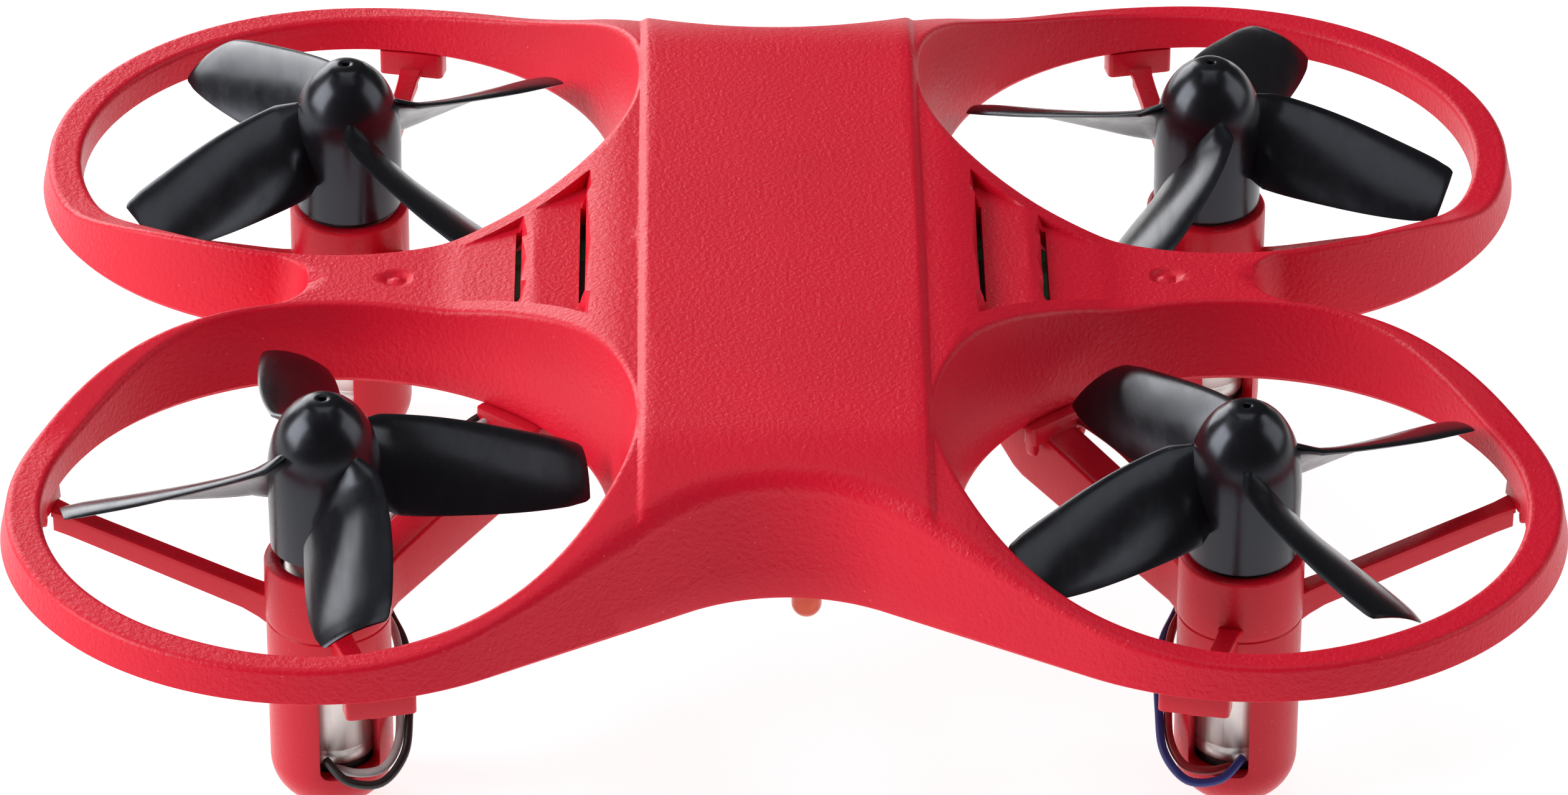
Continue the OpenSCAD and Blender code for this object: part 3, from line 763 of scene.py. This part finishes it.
def pod_mesh(pod):
    """Tube, arms and windows of one motor, turned to face the body."""
    parts = [tube()]
    for angle, tab_w in THIN_ARMS:
        parts += thin_arm(angle, tab_w)
    parts += thick_arm()
    body = parts[0]
    for part in parts[1:]:
        add(body, part)
    bore = [(0, BORE_Z), (BORE_R, BORE_Z), (BORE_R, CUTTER_TOP), (0, CUTTER_TOP)]
    cut(body, revolved("bore", bore, count=96))
    for angle in WINDOWS:
        cut(body, window_cutter(angle))
    soften(body, 0.07, 2, 40)
    sx, sy = PODS[pod]
    body.data.transform(Matrix.Diagonal((-sx, -sy, 1, 1)))
    body.data.transform(Matrix.Translation(Vector((sx * MOTOR.x, sy * MOTOR.y, 0)) * MM))
    return body


def add(obj, other):
    union = obj.modifiers.new("add", "BOOLEAN")
    union.operation = "UNION"
    union.solver = "EXACT"
    union.object = other
    apply_modifiers(obj)
    bpy.data.objects.remove(other)


# ---------- tray, cover and what shows below ----------

TRAY_QUARTER = [(8.6, 27.6), (9.6, 17), (15.6, 5)]
BAY = (15, 29)
COVER_GAP = 0.1
SWITCH_HOLE = (4.6, 1.6)
SOCKET_HOLE = (6.2, 3.6)
LAMP_HOLE_R = 1.05
RIB_AT = 8.3
GRIP_BARS = 6
GRIP_STEP = 1.2


def tray_mesh():
    quarter = [Vector(p) for p in TRAY_QUARTER]
    points = quarter + [Vector((p.x, -p.y)) for p in quarter[::-1]]
    points += [Vector((-p.x, -p.y)) for p in quarter] + [Vector((-p.x, p.y)) for p in quarter[::-1]]
    tray = plate("tray", points, TRAY_Z, TRAY_TOP)
    below, above = TRAY_Z - 1, TRAY_TOP + 1
    holes = [plate("bay", rounded_outline(*BAY, 0.4), below, above)]
    for node, (w, d) in (("power_switch_slider", SWITCH_HOLE), ("charge_socket", SOCKET_HOLE)):
        y = middle(node, 1)
        holes.append(block(node + "_hole", (-w / 2, y - d / 2, below), (w / 2, y + d / 2, above)))
    for node in ("front_lamp", "rear_lamp"):
        centre = Vector((middle(node, 0), middle(node, 1), 0))
        round_hole = [(0, below), (LAMP_HOLE_R, below), (LAMP_HOLE_R, CUTTER_TOP), (0, CUTTER_TOP)]
        holes.append(revolved("hole", round_hole, centre, 32))
    for hole in holes:
        cut(tray, hole)
    for x in (-RIB_AT, RIB_AT):
        add(tray, block("rib", (x - 0.35, -13, TRAY_TOP - 0.3), (x + 0.35, 13, TRAY_TOP + 0.9)))
    soften(tray, 0.12, 2, 40)
    return tray


def cover_mesh():
    """The battery cover: a plate, the tongue under its screw, and bars to grip it by."""
    outline_2d = rounded_outline(BAY[0] - 2 * COVER_GAP, BAY[1] - 2 * COVER_GAP, 0.6)
    cover = plate("cover", outline_2d, TRAY_Z, TRAY_Z + COVER_T)
    y = middle("cover_screw", 1) + 0.8
    tongue = [Vector((p[0], y + p[1])) for p in rounded_outline(4.4, 5, 1.0)]
    add(cover, plate("tongue", tongue, TRAY_Z - COVER_T, TRAY_Z + 0.2))
    for k in range(GRIP_BARS):
        front = 6 + GRIP_STEP * k
        add(cover, block("grip", (-4, front, TRAY_Z - 0.3), (4, front + 0.5, TRAY_Z + 0.2)))
    soften(cover, 0.1, 2, 40)
    return cover


# ---------- motors ----------

def motor_can(pod, material):
    """Drawn can: rolled rim, crimp ring, shallow top recess and a bearing boss."""
    node = "motor_can_" + pod
    r, top, bottom = CAN_R, CAN_TOP, CAN_BOTTOM
    profile = [(0, bottom), (r - 0.25, bottom), (r - 0.07, bottom + 0.06), (r, bottom + 0.25),
               (r, bottom + 0.9), (r - 0.06, bottom + 1.0), (r - 0.06, bottom + 1.15), (r, bottom + 1.25),
               (r, top - 0.45), (r - 0.1, top - 0.15), (r - 0.35, top), (r - 0.8, top),
               (r - 1.0, top - 0.12), (1.2, top - 0.12), (1.1, top), (0.9, top), (0.88, top + 0.42),
               (0.8, top + BEARING_H), (0.46, top + BEARING_H), (0.46, top - 2), (0, top - 2)]
    centre = (middle(node, 0), middle(node, 1), 0)
    return finish_piece(revolved(node + "_drawn", profile, centre, 72), "airframe", [node],
                        material)


def motor_cap(pod, material):
    """Plastic cap at a can's bottom, with a shallow round recess."""
    node = "motor_cap_" + pod
    bottom, top = low(node, 2), high(node, 2)
    profile = [(0, bottom + 0.15), (0.7, bottom + 0.15), (0.8, bottom), (2.6, bottom),
               (2.85, bottom + 0.15), (2.88, top), (0, top)]
    centre = (middle(node, 0), middle(node, 1), 0)
    return finish_piece(revolved(node + "_moulded", profile, centre, 48), "airframe", [node],
                        material)


# ---------- leads ----------

# Routes of the two leads of a motor whose body side is +X, +Y, as in the CAD
ROUTES = [
    [(0.4, -3.35, 3.8), (2, -3.9, 3.8), (3.6, -3.6, 4.1), (4.5, -2.2, 5.2), (4.6, -0.4, 7.2),
     (4.6, 1.4, 9), (4.2, 3.2, 10.3), (3.3, 4.8, 11.3), (2.5, 6.2, 12.8), (3.2, 7.6, 15),
     (4.8, 9.4, 17), (7, 11.8, 18.6), (9.4, 14, 19.5), (11.4, 15.6, 19.9), (13, 16.4, 20.8),
     (13.9, 16.7, 22.6), (14.1, 16.7, 24.5)],
    [(-0.3, -3.5, 4.6), (1.2, -4.75, 3.7), (3.4, -4.6, 3.5), (4.9, -3, 4.7), (5.2, -1, 6.6),
     (5.2, 1.2, 8.4), (4.8, 3.2, 9.6), (3.8, 5.1, 10.7), (2.9, 6.6, 12.4), (3.2, 8.3, 14.6),
     (4.7, 10.1, 16.8), (6.7, 12.5, 18.5), (9, 14.6, 19.5), (11, 16.3, 19.9), (12.6, 17.2, 20.9),
     (13.2, 17.4, 22.6), (13.2, 17.4, 24.5)],
]
LEAD_R = 0.29


def smooth_route(points, per=7):
    """Catmull-Rom curve through a route's points."""
    out = []
    for i in range(len(points) - 1):
        p0, p1 = points[max(i - 1, 0)], points[i]
        p2, p3 = points[i + 1], points[min(i + 2, len(points) - 1)]
        for k in range(per):
            t = k / per
            out.append(0.5 * (2 * p1 + (p2 - p0) * t + (2 * p0 - 5 * p1 + 4 * p2 - p3) * t * t
                              + (3 * p1 - p0 - 3 * p2 + p3) * t ** 3))
    return out + [points[-1]]


def swept(name, route, radius, sides=14):
    """A round tube along a route, carried without twist."""
    sections, u = [], None
    for i, p in enumerate(route):
        along = (route[min(i + 1, len(route) - 1)] - route[max(i - 1, 0)]).normalized()
        u = (u or along.orthogonal())
        u = (u - along * u.dot(along)).normalized()
        v = along.cross(u)
        r = radius(i / (len(route) - 1)) if callable(radius) else radius
        sections.append([p + (u * math.cos(a) + v * math.sin(a)) * r
                         for a in [2 * math.pi * k / sides for k in range(sides)]])
    return lofted(name, sections)


def pod_route(pod, points):
    sx, sy = PODS[pod]
    return [Vector((sx * MOTOR.x - sx * x, sy * MOTOR.y - sy * y, z)) for x, y, z in points]


def motor_leads(pod, materials):
    node = "motor_leads_" + pod
    for k, points in enumerate(ROUTES):
        route = smooth_route(pod_route(pod, points))
        wire = swept(f"{node}_{k + 1}", route, LEAD_R)
        finish_piece(wire, "airframe", [node], materials[k], 60)


def lamp_dome(node, material):
    """A lamp of 1 mm radius with its dome downwards and a collar at its top."""
    bottom, top = low(node, 2), high(node, 2)
    profile = [(0, bottom)]
    for k in range(1, 13):
        a = math.radians(90 * k / 12)
        profile.append((math.sin(a), bottom + 1.0 - math.cos(a)))
    profile += [(1.0, top - 0.65), (1.38, top - 0.6), (1.4, top - 0.5), (1.4, top), (0, top)]
    centre = (middle(node, 0), middle(node, 1), 0)
    return finish_piece(revolved(node + "_dome", profile, centre, 40), "airframe", [node],
                        material)


# ---------- materials ----------

def nodes_of(name):
    """A new material, with its node tree, shader and texture coordinates."""
    mat = bpy.data.materials.new(name)
    mat.use_nodes = True
    tree = mat.node_tree
    shader = tree.nodes["Principled BSDF"]
    place = tree.nodes.new("ShaderNodeTexCoord")
    return mat, tree, shader, place


def noise(tree, place, scale, detail=3.0, rough=0.55, stretch=(1, 1, 1)):
    """Noise in the piece's own coordinates: scale is in turns per metre."""
    mapping = tree.nodes.new("ShaderNodeMapping")
    mapping.inputs["Scale"].default_value = stretch
    tree.links.new(place.outputs["Object"], mapping.inputs["Vector"])
    node = tree.nodes.new("ShaderNodeTexNoise")
    node.inputs["Scale"].default_value = scale
    node.inputs["Detail"].default_value = detail
    node.inputs["Roughness"].default_value = rough
    tree.links.new(mapping.outputs["Vector"], node.inputs["Vector"])
    return node.outputs["Fac"]


def ramp(tree, source, stops):
    node = tree.nodes.new("ShaderNodeValToRGB")
    node.color_ramp.elements[0].position = stops[0][0]
    node.color_ramp.elements[0].color = (*stops[0][1], 1)
    node.color_ramp.elements[1].position = stops[-1][0]
    node.color_ramp.elements[1].color = (*stops[-1][1], 1)
    for position, colour in stops[1:-1]:
        node.color_ramp.elements.new(position).color = (*colour, 1)
    tree.links.new(source, node.inputs["Fac"])
    return node.outputs["Color"]


def spread(tree, source, low_value, high_value):
    """Maps noise round a half to a range."""
    node = tree.nodes.new("ShaderNodeMapRange")
    node.inputs["From Min"].default_value = 0.3
    node.inputs["From Max"].default_value = 0.7
    node.inputs["To Min"].default_value = low_value
    node.inputs["To Max"].default_value = high_value
    tree.links.new(source, node.inputs["Value"])
    return node.outputs["Result"]


def blended(tree, factor, a, b):
    node = tree.nodes.new("ShaderNodeMix")
    node.data_type = "RGBA"
    tree.links.new(factor, node.inputs["Factor"])
    for socket, value in ((node.inputs[6], a), (node.inputs[7], b)):
        if isinstance(value, tuple):
            socket.default_value = (*value, 1)
        else:
            tree.links.new(value, socket)
    return node.outputs[2]


def bumps(tree, shader, layers):
    """Stacks bump layers: (height socket, strength, depth in metres)."""
    normal = None
    for source, strength, depth in layers:
        node = tree.nodes.new("ShaderNodeBump")
        node.inputs["Strength"].default_value = strength
        node.inputs["Distance"].default_value = depth
        tree.links.new(source, node.inputs["Height"])
        if normal:
            tree.links.new(normal, node.inputs["Normal"])
        normal = node.outputs["Normal"]
    tree.links.new(normal, shader.inputs["Normal"])


def grained_red(name, tone, gloss, grain):
    """Moulded plastic with spark-eroded grain: fine pits, pale specks, uneven gloss."""
    mat, tree, shader, place = nodes_of(name)
    cloud = noise(tree, place, 60, 2)
    deep = tuple(c * 0.9 for c in tone)
    colour = ramp(tree, cloud, [(0.3, deep), (0.7, tone)])
    fine = noise(tree, place, 5200, 2, 0.6)
    specks = tree.nodes.new("ShaderNodeTexVoronoi")
    specks.inputs["Scale"].default_value = 800
    tree.links.new(place.outputs["Object"], specks.inputs["Vector"])
    speck_mask = ramp(tree, specks.outputs["Distance"], [(0.03, (1, 1, 1)), (0.06, (0, 0, 0))])
    pale = (min(1, tone[0] * 1.2), tone[1] + 0.08, tone[2] + 0.08)
    tree.links.new(blended(tree, speck_mask, colour, pale), shader.inputs["Base Color"])
    tree.links.new(spread(tree, fine, gloss - 0.07, gloss + 0.08), shader.inputs["Roughness"])
    shader.inputs["Subsurface Weight"].default_value = 0.08
    shader.inputs["Subsurface Radius"].default_value = (1.0, 0.12, 0.1)
    shader.inputs["Subsurface Scale"].default_value = 0.0012
    shader.inputs["Specular IOR Level"].default_value = 0.3
    medium = noise(tree, place, 3000, 2, 0.5)
    bumps(tree, shader, [(medium, grain, 0.00009), (fine, grain, 0.00004)])
    return mat


def plastic(name, tone, gloss, scratch=0.06, sheen=(1, 1, 1)):
    """Smooth moulding: faint flow marks, hairline scuffs and a satin sheen."""
    mat, tree, shader, place = nodes_of(name)
    cloud = noise(tree, place, 220, 2)
    lifted = tuple(min(1, c * 1.12 + 0.002) for c in tone)
    tree.links.new(ramp(tree, cloud, [(0.3, tone), (0.7, lifted)]), shader.inputs["Base Color"])
    hair = noise(tree, place, 900, 4, 0.7, (1, 0.12, 1))
    tree.links.new(spread(tree, hair, gloss - 0.04, gloss + 0.06), shader.inputs["Roughness"])
    shader.inputs["Specular Tint"].default_value = (*sheen, 1)
    fine = noise(tree, place, 3800, 2, 0.5)
    bumps(tree, shader, [(hair, scratch, 0.00001), (fine, scratch * 1.4, 0.00001)])
    return mat


def metal(name, tone, gloss, streak=(1, 1, 0.03), depth=0.1):
    """Drawn or rolled metal: streaks along one direction and faint stains."""
    mat, tree, shader, place = nodes_of(name)
    stain = noise(tree, place, 260, 3)
    dull = tuple(c * 0.86 for c in tone)
    tree.links.new(ramp(tree, stain, [(0.35, dull), (0.65, tone)]), shader.inputs["Base Color"])
    lines = noise(tree, place, 5200, 3, 0.6, streak)
    tree.links.new(spread(tree, lines, gloss - 0.07, gloss + 0.09), shader.inputs["Roughness"])
    shader.inputs["Metallic"].default_value = 1.0
    bumps(tree, shader, [(lines, depth, 0.00001)])
    return mat


def insulation(name, tone):
    mat, tree, shader, place = nodes_of(name)
    cloud = noise(tree, place, 900, 2)
    worn = tuple(c * 0.8 for c in tone)
    tree.links.new(ramp(tree, cloud, [(0.3, worn), (0.7, tone)]), shader.inputs["Base Color"])
    tree.links.new(spread(tree, cloud, 0.34, 0.5), shader.inputs["Roughness"])
    bumps(tree, shader, [(noise(tree, place, 2600, 2), 0.12, 0.00002)])
    return mat


def circuit(name):
    """Solder-resist green with paler tracks and tinned pads."""
    mat, tree, shader, place = nodes_of(name)
    cells = tree.nodes.new("ShaderNodeTexVoronoi")
    cells.distance = "MANHATTAN"
    cells.feature = "F1"
    cells.inputs["Scale"].default_value = 420
    tree.links.new(place.outputs["Object"], cells.inputs["Vector"])
    tracks = ramp(tree, cells.outputs["Distance"],
                  [(0.5, (0.01, 0.09, 0.04)), (0.56, (0.03, 0.2, 0.09))])
    pads = ramp(tree, cells.outputs["Distance"], [(0.12, (1, 1, 1)), (0.15, (0, 0, 0))])
    tree.links.new(blended(tree, pads, tracks, (0.6, 0.58, 0.5)), shader.inputs["Base Color"])
    tree.links.new(spread(tree, noise(tree, place, 800), 0.25, 0.4), shader.inputs["Roughness"])
    bumps(tree, shader, [(cells.outputs["Distance"], 0.1, 0.00003)])
    return mat


def lamp_material(name):
    """Cast orange-red dome, clear enough to glow a little at its edge."""
    mat, tree, shader, place = nodes_of(name)
    cloud = noise(tree, place, 700, 2)
    tree.links.new(ramp(tree, cloud, [(0.3, (0.75, 0.06, 0.02)), (0.7, (0.95, 0.14, 0.04))]),
                   shader.inputs["Base Color"])
    tree.links.new(spread(tree, cloud, 0.08, 0.18), shader.inputs["Roughness"])
    shader.inputs["Transmission Weight"].default_value = 0.35
    shader.inputs["Subsurface Weight"].default_value = 0.2
    shader.inputs["Subsurface Scale"].default_value = 0.001
    shader.inputs["IOR"].default_value = 1.5
    bumps(tree, shader, [(cloud, 0.05, 0.00002)])
    return mat


def paint_node(node, material):
    """A CAD node that keeps its own shape gets a better material."""
    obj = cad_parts[node]
    obj.data.materials.clear()
    obj.data.materials.append(material)


# ---------- the object ----------

red_shell = grained_red("shell_red", (0.73, 0.006, 0.03), 0.4, 0.6)
red_frame = grained_red("frame_red", (0.6, 0.005, 0.022), 0.32, 0.2)
black_blade = plastic("propeller_black", (0.005, 0.005, 0.007), 0.24, 0.06, (0.82, 0.87, 1.0))
can_steel = metal("motor_steel", (0.83, 0.79, 0.76), 0.42, depth=0.03)
cap_black = plastic("cap_black", (0.02, 0.02, 0.02), 0.45)
shaft_steel = metal("shaft_steel", (0.7, 0.7, 0.7), 0.16)
screw_steel = metal("screw_steel", (0.6, 0.6, 0.6), 0.3, (1, 1, 1))
foil = metal("cell_foil", (0.7, 0.71, 0.73), 0.35, (1, 0.2, 1), 0.3)
board_green = circuit("board_green")
chip_black = plastic("chip_black", (0.015, 0.015, 0.016), 0.55)
nylon = plastic("connector_white", (0.8, 0.78, 0.7), 0.4)
lamp_orange = lamp_material("lamp_orange")
LEAD_COLOURS = {"grey": (0.5, 0.5, 0.5), "black": (0.012, 0.012, 0.012), "blue": (0.02, 0.03, 0.2),
                "red": (0.3, 0.01, 0.015)}
leads = {name: insulation("lead_" + name, tone) for name, tone in LEAD_COLOURS.items()}

shell = shell_mesh()
cut(shell, slot_cutters())
finish_piece(shell, "airframe", ["upper_shell"], red_shell, 32)

SPIN = {"fl": (15, 1), "fr": (25, -1), "rl": (30, -1), "rr": (-14, 1)}
LEAD_PAIRS = {"fl": ("grey", "black"), "rr": ("grey", "black"),
              "fr": ("red", "blue"), "rl": ("red", "blue")}
for pod in PODS:
    finish_piece(pod_mesh(pod), "airframe", ["lower_frame"] if pod == "fl" else [],
                 red_frame, 38)
    turn, hand = SPIN[pod]
    propeller(pod, turn, hand, black_blade)
    motor_can(pod, can_steel)
    motor_cap(pod, cap_black)
    paint_node("motor_shaft_" + pod, shaft_steel)
    motor_leads(pod, [leads[name] for name in LEAD_PAIRS[pod]])

finish_piece(tray_mesh(), "airframe", [], red_frame)
finish_piece(cover_mesh(), "airframe", ["battery_cover"], red_frame)
lamp_dome("front_lamp", lamp_orange)
lamp_dome("rear_lamp", lamp_orange)
for node, material in {
    "frame_screws": screw_steel, "cover_screw": screw_steel, "circuit_board": board_green,
    "board_chips": chip_black, "board_crystal": shaft_steel, "battery_cell": foil,
    "battery_plug": nylon, "battery_socket": nylon, "battery_leads": leads["red"],
    "power_switch_body": screw_steel, "power_switch_slider": chip_black,
    "charge_socket": screw_steel, "antenna_wire": leads["black"],
}.items():
    paint_node(node, material)


# ---------- studio ----------

def area_light(name, at, size, power, aim=(0, 0, 20)):
    data = bpy.data.lights.new(name, "AREA")
    data.shape = "RECTANGLE"
    data.size, data.size_y = size
    data.energy = power
    light = bpy.data.objects.new(name, data)
    bpy.context.scene.collection.objects.link(light)
    light.location = Vector(at)
    light.rotation_mode = "QUATERNION"
    light.rotation_quaternion = (Vector(aim) * MM - Vector(at)).to_track_quat("-Z", "Y")
    return light


def studio():
    """A plain pale floor that glows a little, and four soft lights."""
    floor = new_object("floor", [(-3, -3, 0), (3, -3, 0), (3, 3, 0), (-3, 3, 0)], [[0, 1, 2, 3]], 1.0)
    mat, tree, shader, place = nodes_of("floor_paint")
    mottle = noise(tree, place, 2, 1)
    tree.links.new(ramp(tree, mottle, [(0.3, (0.49, 0.49, 0.49)), (0.7, (0.51, 0.51, 0.51))]),
                   shader.inputs["Base Color"])
    shader.inputs["Roughness"].default_value = 0.9
    shader.inputs["Specular IOR Level"].default_value = 0.1
    shader.inputs["Emission Color"].default_value = (1, 1, 1, 1)
    shader.inputs["Emission Strength"].default_value = 0.82
    floor.data.materials.append(mat)
    world = bpy.data.worlds.new("studio")
    world.use_nodes = True
    world.node_tree.nodes["Background"].inputs["Color"].default_value = (1, 1, 1, 1)
    world.node_tree.nodes["Background"].inputs["Strength"].default_value = 0.06
    bpy.context.scene.world = world
    lights = [
        area_light("left_softbox", (-0.5, -0.08, 0.3), (0.4, 0.4), 3.5),
        area_light("right_softbox", (0.5, 0.02, 0.3), (0.4, 0.4), 1.0),
        area_light("top_softbox", (0.0, 0.1, 0.8), (0.5, 0.5), 0.9),
        area_light("back_softbox", (-0.42, 0.75, 0.3), (0.6, 0.5), 4.5),
    ]


def camera():
    """Looks down at the front, from about 31 degrees, with a long lens."""
    elevation, yaw, roll = (math.radians(a) for a in (31.293, -0.688, 0.212))
    back = Vector((math.sin(yaw) * math.cos(elevation), -math.cos(yaw) * math.cos(elevation),
                   math.sin(elevation)))
    right = Vector((math.cos(yaw), math.sin(yaw), 0))
    up = back.cross(right)
    x_axis = right * math.cos(roll) + up * math.sin(roll)
    y_axis = back.cross(x_axis)
    data = bpy.data.cameras.new("camera")
    data.sensor_width = 36
    data.lens = 201.77
    data.clip_start, data.clip_end = 0.01, 20
    cam = bpy.data.objects.new("camera", data)
    bpy.context.scene.collection.objects.link(cam)
    basis = Matrix((x_axis, y_axis, back)).transposed().to_4x4()
    target = Vector((0.175, -1.886, 17.6)) * MM
    cam.matrix_world = Matrix.Translation(target + back * 0.5946) @ basis
    bpy.context.scene.camera = cam


studio()
camera()
bpy.context.scene.view_settings.view_transform = "Standard"
